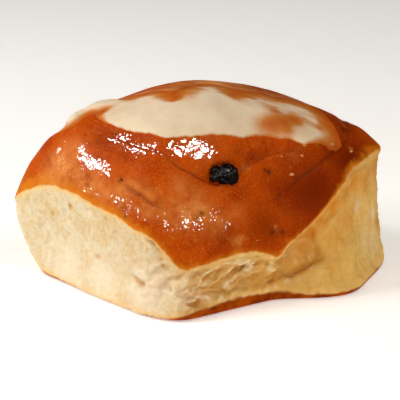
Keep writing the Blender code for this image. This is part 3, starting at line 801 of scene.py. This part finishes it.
doughColours = dict(
    crumb=(0.76, 0.665, 0.475),
    crumbShade=(0.70, 0.52, 0.26),
    # warm tone of the sides away from the light: partly the crumb's own colour, partly painted shade
    crumbWarm=(0.80, 0.51, 0.125),
    cream=(0.88, 0.79, 0.62),
    # painted highlight on the standing flake edges
    tip=(0.93, 0.82, 0.58),
    fibre=(0.66, 0.36, 0.075),
    # painted shade in the hollows of the torn crumb
    hollow=(0.60, 0.26, 0.038),
    deepShade=(0.45, 0.165, 0.018),
    # toasted crumb, also painted shade in the recesses of the right side
    toasted=(0.62, 0.20, 0.012),
    pore=(0.72, 0.50, 0.20),
    straw=(0.82, 0.54, 0.19),
    amber=(0.64, 0.19, 0.010),
    crust=(0.50, 0.066, 0.0010),
    crustDark=(0.35, 0.034, 0.0006),
    # pale freckles of the glaze, also the painted sheen of the salmon bloom
    paleGlaze=(0.68, 0.235, 0.050),
    # deep brown of well baked crust, also painted shade on the right side
    deepBake=(0.150, 0.0095, 0.0003),
    # dark brown for marks; also painted shade in the seam's crease, the raisin's pocket and the fold's
    # lower line
    spotDark=(0.055, 0.012, 0.006),
    # pale sugar specks, painted as glints
    sugar=(0.84, 0.43, 0.19),
    # dried sugar veil, also painted sheen on the crown's top
    veil=(0.86, 0.43, 0.12),
    base=(0.42, 0.075, 0.003),
    baseDark=(0.20, 0.026, 0.002),
)


class Nodes:
    # short ways to add and join shader nodes
    def __init__(self, name):
        self.material = bpy.data.materials.new(name)
        self.material.use_nodes = True
        self.tree = self.material.node_tree
        self.shader = self.tree.nodes["Principled BSDF"]

    def add(self, kind, **settings):
        node = self.tree.nodes.new(kind)
        for key, value in settings.items():
            setattr(node, key, value)
        return node

    def join(self, source, target):
        self.tree.links.new(source, target)

    def feed(self, socket, value):
        if hasattr(value, "is_output"):
            self.join(value, socket)
        else:
            socket.default_value = value

    def fill(self, node, **values):
        for name, value in values.items():
            node.inputs[name].default_value = value

    def place(self):
        if not hasattr(self, "coordinates"):
            self.coordinates = self.add("ShaderNodeTexCoord").outputs["Object"]
        return self.coordinates

    def mask(self, name):
        return self.add("ShaderNodeAttribute", attribute_name=name).outputs["Fac"]

    def noise(self, scale, detail=3.0, roughness=0.55, stretch=None):
        node = self.add("ShaderNodeTexNoise")
        source = self.place()
        if stretch:
            mapping = self.add("ShaderNodeMapping")
            self.fill(mapping, Scale=stretch)
            self.join(source, mapping.inputs["Vector"])
            source = mapping.outputs["Vector"]
        self.join(source, node.inputs["Vector"])
        self.fill(node, Scale=scale, Detail=detail, Roughness=roughness)
        return node.outputs["Fac"]

    def ramp(self, value, low, high, fromLow=0.0, fromHigh=1.0):
        node = self.add("ShaderNodeMapRange", interpolation_type="SMOOTHSTEP")
        self.join(value, node.inputs["Value"])
        self.fill(node, **{"From Min": low, "From Max": high, "To Min": fromLow, "To Max": fromHigh})
        return node.outputs["Result"]

    def sum(self, first, second, operation="ADD"):
        node = self.add("ShaderNodeMath", operation=operation)
        self.feed(node.inputs[0], first)
        self.feed(node.inputs[1], second)
        return node.outputs["Value"]

    def times(self, first, second):
        return self.sum(first, second, "MULTIPLY")

    def put(self, name, value):
        # onto the shader's own socket: a value, or what another node gives
        self.feed(self.shader.inputs[name], value)

    def blend(self, factor, first, second):
        # each of the two is a colour, its name in doughColours, or what another node gives
        node = self.add("ShaderNodeMix", data_type="RGBA")
        self.feed(node.inputs["Factor"], factor)
        for socket, value in ((node.inputs[6], first), (node.inputs[7], second)):
            value = doughColours[value] if isinstance(value, str) else value
            self.feed(socket, (*value, 1.0) if isinstance(value, tuple) else value)
        return node.outputs[2]

    def bump(self, height, strength, distance, below=None):
        node = self.add("ShaderNodeBump")
        self.feed(node.inputs["Strength"], strength)
        self.fill(node, Distance=distance)
        self.join(height, node.inputs["Height"])
        if below:
            self.join(below, node.inputs["Normal"])
        return node.outputs["Normal"]


def crustColour(n):
    blotch = n.ramp(n.noise(75.0, 4.0, 0.6), 0.36, 0.70)
    colour = n.blend(blotch, "crust", "crustDark")
    # specks: scale, roughness, where they begin and are full, strength, colour
    for scale, roughness, low, high, strength, tint in (
        (420.0, 0.5, 0.60, 0.74, 0.35, "amber"),
        (1500.0, 0.6, 0.46, 0.72, 0.25, "paleGlaze"),
        (1100.0, 0.6, 0.58, 0.74, 0.40, "deepBake"),
    ):
        speck = n.ramp(n.noise(scale, 2.0, roughness), low, high, 0.0, strength)
        colour = n.blend(speck, colour, tint)
    # painted shade on the right side's crust, with deeper baking
    return n.blend(n.mask("bake"), colour, "deepBake")


def doughMaterial():
    n = Nodes("bakedDough")
    above = n.mask("aboveCrust")
    cloudy = n.sum(n.ramp(n.noise(150.0, 5.0, 0.72), 0.42, 0.66, 0.0, 0.7),
                   n.ramp(n.noise(620.0, 4.0, 0.65), 0.46, 0.62, 0.0, 0.6))
    crumb = n.blend(cloudy, "crumb", "crumbShade")
    # painted shade: the sides away from the light turn warmer and darker
    crumb = n.blend(n.mask("warmSide"), crumb, "crumbWarm")
    # creamier patches and pores, then painted shade in the hollows and the deep recesses
    for mask, strength, tint in (
        ("creamy", 0.8, "cream"), ("pores", 0.55, "pore"), ("hollowness", 0.85, "hollow"),
        ("deepShade", 0.80, "deepShade"),
    ):
        crumb = n.blend(n.times(n.mask(mask), strength), crumb, tint)
    fibres = n.ramp(n.noise(330.0, 4.0, 0.68, (1.7, 1.7, 0.6)), 0.44, 0.64)
    fibres = n.times(fibres, n.mask("warmSide"))
    crumb = n.blend(n.times(fibres, 0.60), crumb, "fibre")
    # painted highlight: the standing flake edges are paler, where light catches them
    crumb = n.blend(n.times(n.mask("tips"), 0.75), crumb, "tip")
    # toasting by the crust and painted shade in the right side's recesses
    scorched = n.ramp(n.noise(260.0, 4.0, 0.65), 0.25, 0.65, 0.62, 1.0)
    scorched = n.times(n.mask("toasted"), scorched)
    crumb = n.blend(n.ramp(n.mask("aboveBase"), 3.2, 0.2, 0.0, 0.7), crumb, "straw")
    ripple = n.times(n.sum(n.noise(260.0, 4.0, 0.65), 0.5, "SUBTRACT"), 3.2)
    nearCrust = n.ramp(n.sum(above, ripple), -2.2, 0.2, 0.0, 0.65)
    crumb = n.blend(nearCrust, crumb, "straw")
    crumb = n.blend(scorched, crumb, "toasted")

    uneven = n.times(n.sum(n.noise(190.0, 4.0, 0.65), 0.5, "SUBTRACT"), 1.3)
    golden = n.sum(n.mask("golden"), uneven)
    shell = n.blend(n.ramp(golden, 0.20, 1.05), crustColour(n), "amber")
    # painted glints: fine pale sugar specks in the palest patches
    sugary = n.ramp(n.noise(1500.0, 3.0, 0.6), 0.50, 0.62, 0.0, 0.60)
    sugar = n.times(n.ramp(n.mask("pale"), 0.60, 1.0), sugary)
    mottled = n.ramp(n.noise(330.0, 4.0, 0.65), 0.30, 0.62, 0.35, 1.0)
    # painted sheen: a salmon bloom over the pale patches
    bloom = n.times(n.mask("pale"), mottled)
    shell = n.blend(bloom, shell, "paleGlaze")
    shell = n.blend(sugar, shell, "sugar")
    # painted sheen on the top, with the dried sugar veil
    shell = n.blend(n.mask("veil"), shell, "veil")
    edge = n.sum(above, n.times(ripple, 0.15))
    shell = n.blend(n.ramp(edge, 0.9, -0.2, 0.0, 0.9), shell, "straw")
    # painted shade in the seam's crease
    shell = n.blend(n.times(n.mask("crease"), 0.75), shell, "spotDark")
    # dark marks, with painted shade in the raisin's pocket and along the fold's lower line
    shell = n.blend(n.mask("mark"), shell, "spotDark")
    colour = n.blend(n.ramp(above, -0.4, 0.7), crumb, shell)

    isBase = n.ramp(n.mask("aboveBase"), 0.7, -0.3)
    baseBlotch = n.ramp(n.noise(240.0, 3.0), 0.35, 0.7)
    baseTone = n.blend(baseBlotch, "base", "baseDark")
    colour = n.blend(isBase, colour, baseTone)
    n.put("Base Color", colour)

    gloss = n.ramp(above, 0.6, 3.5)
    dry = n.ramp(gloss, 0.0, 1.0, 0.88, 0.42)
    patchy = n.ramp(n.noise(260.0, 3.0), 0.3, 0.7, -0.06, 0.06)
    n.put("Roughness", n.sum(dry, patchy))
    # the wet places mirror in specks, more of them where it is wetter
    wetter = n.times(n.mask("wet"), 0.22)
    specks = n.ramp(n.sum(n.noise(1150.0, 4.0, 0.68), wetter), 0.61, 0.66)
    specks = n.times(specks, n.ramp(n.mask("wet"), 0.02, 0.20))
    n.put("Coat Weight", n.times(gloss, specks))
    n.put("Coat Roughness", 0.05)
    n.put("Specular IOR Level", 0.015)
    n.put("Specular Tint", (1.0, 0.50, 0.15, 1.0))
    n.put("Subsurface Weight", n.ramp(gloss, 0.0, 1.0, 0.16, 0.0))
    n.put("Subsurface Radius", (1.0, 0.55, 0.25))
    n.put("Subsurface Scale", 0.0025)

    fine = n.bump(n.noise(1300.0, 4.0, 0.65), n.ramp(above, 0.0, 1.5, 0.75, 0.05), 0.00040)
    n.put("Normal", fine)
    glaze = n.bump(n.noise(520.0, 1.0), gloss, 0.00042)
    n.put("Coat Normal", glaze)
    return n.material


# icing

icingShape = dict(
    pitch=0.0006,
    # outline of the pool in plan from the crown, in millimetres
    outline=[
        (-29.4, -32.0), (-26.9, -31.0), (-25.8, -28.6), (-25.4, -25.6), (-24.0, -24.6), (-20.2, -24.4),
        (-18.0, -23.2), (-16.0, -24.0), (-17.0, -27.9), (-13.2, -28.9), (-7.1, -28.5), (-2.1, -27.6),
        (2.9, -26.4), (8.4, -25.2), (10.9, -23.4), (14.4, -18.6), (18.2, -13.5), (21.8, -8.0),
        (24.7, -1.2), (26.2, 1.4), (28.6, 4.5), (30.9, 6.8), (32.7, 9.7), (35.2, 12.5), (35.5, 14.3),
        (36.5, 19.9), (36.4, 22.9), (34.3, 25.9), (31.7, 25.5), (27.7, 26.5), (23.5, 25.0), (21.0, 23.1),
        (20.6, 18.9), (19.3, 16.9), (16.8, 15.8), (15.3, 12.2), (14.7, 7.6), (13.9, 4.1), (11.5, 2.9),
        (7.2, 5.2), (4.4, 5.0), (1.2, 3.6), (0.6, -3.7), (2.0, -8.0), (3.3, -10.6), (2.5, -12.8),
        (0.9, -13.9), (-1.7, -13.9), (-4.2, -13.0), (-8.1, -13.7), (-10.0, -16.2), (-12.2, -18.0),
        (-16.1, -18.0), (-18.7, -16.9), (-23.0, -15.0), (-27.5, -18.0), (-30.5, -22.0), (-31.6, -27.0),
        (-31.0, -30.8),
    ],
    thickness=0.0005,
    lumpRise=3.4,
    edgeWidth=0.0018,
    fadeReach=0.0050,
    skirt=0.0016,
    backing=0.0006,
    # the lump at the left end: plan place, half sizes, turn, strength
    lump=[(-24.0, -21.8, 7.8, 5.2, 39.0, 1.0), (-28.5, -27.5, 3.8, 3.8, 0.0, 0.6)],
    # the pool runs along this line; what lies behind it is thin and fades
    middleLine=[(-17.0, -28.0), (36.0, 20.0)],
    # thin places the crust shows through: plan place, half sizes, turn, strength
    thin=[
        (28.3, 15.6, 2.4, 3.4, -15.0, 0.95), (26.8, 6.5, 6.0, 2.8, 58.0, 0.92),
        (28.0, 11.0, 3.4, 2.2, 80.0, 0.75), (24.0, 11.0, 3.0, 3.0, 0.0, 0.45),
        (33.0, 23.6, 1.6, 2.6, 0.0, 0.45), (3.6, -5.0, 2.6, 5.0, 10.0, 0.45),
        (18.0, 14.5, 3.0, 2.4, 40.0, 0.4), (-18.0, -25.6, 1.4, 2.2, 30.0, 0.7),
        (10.0, 4.0, 5.0, 2.0, 10.0, 0.4), (31.0, 10.0, 2.0, 2.0, 0.0, 0.35),
    ],
    white=(0.80, 0.66, 0.49),
    shade=(0.74, 0.58, 0.41),
    tan=(0.56, 0.19, 0.030),   # where the crust shows through
    # loose drops: plan place and radius
    drops=[
        (36.5, 10.1, 0.6), (36.0, 5.8, 0.8), (40.9, 30.4, 0.6), (35.6, 12.4, 0.6), (32.7, 4.4, 0.4),
        (37.6, 24.2, 0.8), (34.6, -9.0, 0.35),
    ],
)


def outlineDistance(x, y, outline):
    # distance inside the closed outline, negative outside
    best = np.full(x.shape, 1e9)
    inside = np.zeros(x.shape, bool)
    for (ax, ay), (bx, by) in zip(outline, outline[1:] + outline[:1]):
        dx, dy = bx - ax, by - ay
        t = held(((x - ax) * dx + (y - ay) * dy) / (dx * dx + dy * dy))
        best = np.minimum(best, np.hypot(x - ax - t * dx, y - ay - t * dy))
        crosses = (ay > y) != (by > y)
        at = ax + (y - ay) * dx / np.where(dy == 0.0, 1e-9, dy)
        inside ^= crosses & (x < at)
    return np.where(inside, best, -best)


def roundedOutline(outline, rounds=3):
    # corner cutting, so that the pool's edge runs in soft curves
    for _ in range(rounds):
        cut = []
        for (ax, ay), (bx, by) in zip(outline, outline[1:] + outline[:1]):
            cut.append((0.75 * ax + 0.25 * bx, 0.75 * ay + 0.25 * by))
            cut.append((0.25 * ax + 0.75 * bx, 0.25 * ay + 0.75 * by))
        outline = cut
    return outline


def makeIcing(bunTree):
    pitch = icingShape["pitch"]
    outline = [(x / 1000.0, y / 1000.0) for x, y in roundedOutline(icingShape["outline"], 2)]
    xs = np.arange(-0.037, 0.042, pitch)
    ys = np.arange(-0.034, 0.033, pitch)
    gridX, gridY = np.meshgrid(xs, ys, indexing="ij")
    plan = np.column_stack([gridX.ravel() + crown.x, gridY.ravel() + crown.y, np.zeros(gridX.size)])
    ragged = 0.0005 * doughNoise(plan, 0.0060, 31.0) + 0.0003 * doughNoise(plan, 0.0022, 33.0)
    depth = outlineDistance(gridX.ravel(), gridY.ravel(), outline) + ragged
    lump = held(sum(ovals(plan, icingShape["lump"])))
    start, end = (Vector(metres(*place)) for place in icingShape["middleLine"])
    along = (end - start).normalized()
    behind = along.x * (plan[:, 1] - crown.y - start.y) - along.y * (plan[:, 0] - crown.x - start.x)
    backness = easeStep(-0.006, 0.006, behind) * (1.0 - lump)
    swell = 1.0 + 0.25 * doughNoise(plan, 0.0080, 35.0)
    full = icingShape["thickness"] * (1.0 + icingShape["lumpRise"] * lump)
    full *= swell * (1.0 - 0.6 * backness)
    share = held(depth / (icingShape["edgeWidth"] * (1.0 - 0.3 * lump)))
    height = full * np.sqrt(1.0 - (1.0 - share) ** 2) + 0.00006
    reach = depth + icingShape["fadeReach"] * backness
    height = np.where(reach > 0.0, height, reach * 0.55)
    keep = reach > -icingShape["skirt"]

    # how well the icing hides the crust: crisp at the near edge, streaky and faint towards the back
    milky = easeStep(-1.0, 1.0, depth / (0.0004 + 0.8 * icingShape["fadeReach"] * backness))
    for patch in ovals(plan, icingShape["thin"]):
        milky *= 1.0 - patch
    turned = np.column_stack([along.x * plan[:, 0] + along.y * plan[:, 1], behind, plan[:, 2]])
    streaks = doughNoise(turned, 0.0040, 37.0, (2.2, 0.6, 1.0))
    streaks += 0.5 * doughNoise(turned, 0.0016, 38.0, (2.2, 0.6, 1.0))
    milky *= 1.0 - 0.60 * backness * held(streaks + 0.25)

    bm = bmesh.new()
    verts, cover = {}, []
    for k in np.flatnonzero(keep):
        point = letDown(plan[k, 0], plan[k, 1], bunTree)
        if point is None:
            continue
        out = (point - Vector((crown.x, crown.y, 0.012))).normalized()
        verts[k] = bm.verts.new(point + out * float(height[k]))
        cover.append(float(milky[k]))
    across = len(ys)
    for k in verts:
        corner = (k, k + across, k + across + 1, k + 1)
        if (k + 1) % across and all(c in verts for c in corner):
            bm.faces.new([verts[c] for c in corner])
    mesh = bpy.data.meshes.new("dressedIcing")
    bm.to_mesh(mesh)
    bm.free()
    paintMasks(mesh, cover=np.array(cover))
    piece = newPiece("dressedIcing", mesh)
    relax(piece, 3)
    shell = piece.modifiers.new("underside", "SOLIDIFY")
    shell.thickness = icingShape["backing"]
    shell.offset = -1.0
    applyModifiers(piece)
    addDrops(piece.data, bunTree)
    dress(piece.data, icingMaterial())
    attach(piece, "root")
    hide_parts("icing")
    print("icing", len(piece.data.polygons), "faces")


def addDrops(mesh, bunTree):
    bm = bmesh.new()
    bm.from_mesh(mesh)
    cover = bm.verts.layers.float["cover"]
    for x, y, radius in icingShape["drops"]:
        centre = dropped(x, y, bunTree)
        if centre is None:
            continue
        size = radius / 1000.0
        for vert in bmesh.ops.create_icosphere(bm, subdivisions=3, radius=size)["verts"]:
            bend = 1.0 + 0.25 * noise.noise(vert.co / size * 1.3 + Vector((x, y, 0.0)))
            vert.co = centre + Vector((vert.co.x, vert.co.y, 0.55 * vert.co.z)) * bend
            vert[cover] = 0.45
    bm.to_mesh(mesh)
    bm.free()


def icingMaterial():
    n = Nodes("sugarIcing")
    cover = n.mask("cover")
    white = n.blend(n.ramp(n.noise(130.0, 3.0), 0.3, 0.7), icingShape["white"], icingShape["shade"])
    uneven = n.times(n.sum(n.noise(340.0, 3.0), 0.5, "SUBTRACT"), 0.35)
    shown = n.sum(cover, n.times(uneven, n.ramp(cover, 0.95, 0.5)))
    colour = n.blend(n.ramp(shown, -0.20, 0.45), crustColour(n), icingShape["tan"])
    colour = n.blend(n.ramp(shown, 0.30, 0.95), colour, white)
    n.put("Base Color", colour)
    n.put("Roughness", 0.45)
    n.put("Specular IOR Level", 0.02)
    n.put("Subsurface Weight", 0.25)
    n.put("Subsurface Radius", (1.0, 0.7, 0.45))
    n.put("Subsurface Scale", 0.0015)
    n.put("Normal", n.bump(n.noise(380.0, 3.0), 0.25, 0.0003))
    return n.material


# raisin

raisinShape = dict(
    wrinkleDepth=0.00030,
    foldDepth=0.0009,
    plump=0.00035,
    skin=(0.0008, 0.0005, 0.0005),
    ridge=(0.004, 0.002, 0.0014),
)


def makeRaisin():
    piece = copyOfNode("raisin", "dressedRaisin")
    fine = piece.modifiers.new("fine", "SUBSURF")
    fine.levels = fine.render_levels = 3
    applyModifiers(piece)
    mesh = piece.data
    points, normals = readMesh(mesh)
    folds = np.abs(doughNoise(points, 0.0042, 41.0))
    wrinkles = np.abs(doughNoise(points, 0.0018, 43.0))
    out = raisinShape["plump"] + raisinShape["foldDepth"] * (easeStep(0.0, 0.40, folds) - 0.7)
    out += raisinShape["wrinkleDepth"] * (easeStep(0.0, 0.3, wrinkles) - 0.7)
    writePoints(mesh, points + normals * out[:, None])
    dress(mesh, raisinMaterial())
    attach(piece, "root")
    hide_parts("raisin")
    print("raisin", len(mesh.polygons), "faces")


def raisinMaterial():
    n = Nodes("driedFruit")
    colour = n.blend(n.ramp(n.noise(500.0, 3.0), 0.4, 0.75), raisinShape["skin"], raisinShape["ridge"])
    n.put("Base Color", colour)
    n.put("Roughness", n.ramp(n.noise(700.0, 3.0), 0.35, 0.65, 0.16, 0.45))
    n.put("Specular IOR Level", 0.05)
    n.put("Normal", n.bump(n.noise(1100.0, 3.0), 0.6, 0.0003))
    return n.material


# table and light

studio = dict(
    floorSide=6.0,
    floorColour=(0.90, 0.90, 0.90),
    floorGlowColour=(1.0, 0.98, 0.95),
    floorGlow=0.40,
    worldColour=(1.0, 0.90, 0.78),
    worldStrength=0.06,
    # azimuth, elevation, distance, side, power, colour; the first four light the bun itself
    lights=dict(
        windowLeft=(-40.0, 19.0, 0.80, 0.16, 2.85, (1.0, 0.97, 0.94)),
        windowTop=(-35.0, 54.0, 0.70, 0.16, 1.8, (1.0, 0.96, 0.90)),
        windowBack=(80.0, 57.0, 0.70, 0.16, 1.5, (1.0, 0.95, 0.88)),
        warmFill=(72.0, 12.0, 0.90, 0.30, 1.35, (1.0, 0.76, 0.44)),
        # small bright panes that are seen only mirrored in the glaze
        paneLeft=(-36.0, 20.5, 0.80, 0.27, 18.0, (1.0, 0.97, 0.92)),
        paneTop=(-44.0, 54.0, 0.70, 0.14, 6.5, (1.0, 0.97, 0.92)),
        paneBack=(78.0, 57.0, 0.70, 0.24, 15.0, (1.0, 0.97, 0.92)),
        paneFold=(-10.0, 10.0, 0.80, 0.10, 1.0, (1.0, 0.95, 0.88)),
        paneFront=(72.0, 8.0, 0.80, 0.16, 4.0, (1.0, 0.93, 0.84)),
    ),
    unmirrored=["windowLeft", "windowTop", "windowBack", "warmFill"],
)


def makeStudio():
    bm = bmesh.new()
    bmesh.ops.create_grid(bm, x_segments=1, y_segments=1, size=studio["floorSide"] / 2.0)
    mesh = bpy.data.meshes.new("table")
    bm.to_mesh(mesh)
    bm.free()
    table = newPiece("table", mesh)
    n = Nodes("palePaint")
    n.put("Base Color", (*studio["floorColour"], 1.0))
    n.put("Roughness", 0.9)
    n.put("Specular IOR Level", 0.1)
    n.put("Emission Color", (*studio["floorGlowColour"], 1.0))
    n.put("Emission Strength", studio["floorGlow"])
    mesh.materials.append(n.material)

    world = bpy.data.worlds.new("room")
    world.use_nodes = True
    sky = world.node_tree.nodes["Background"]
    sky.inputs["Color"].default_value = (*studio["worldColour"], 1.0)
    sky.inputs["Strength"].default_value = studio["worldStrength"]
    scene.world = world

    for name, (*stand, side, power, colour) in studio["lights"].items():
        data = bpy.data.lights.new(name, "AREA")
        data.shape = "SQUARE"
        data.size = side
        data.energy = power
        data.color = colour
        lamp = aimed(name, data, *stand)
        lamp.visible_glossy = name not in studio["unmirrored"]
        lamp.visible_diffuse = name in studio["unmirrored"]
    scene.view_settings.view_transform = "Standard"
    print("table and lights placed")


placeCamera()
makeStudio()
bun = makeBun()
makeIcing(treeOf(bun.data))
makeRaisin()
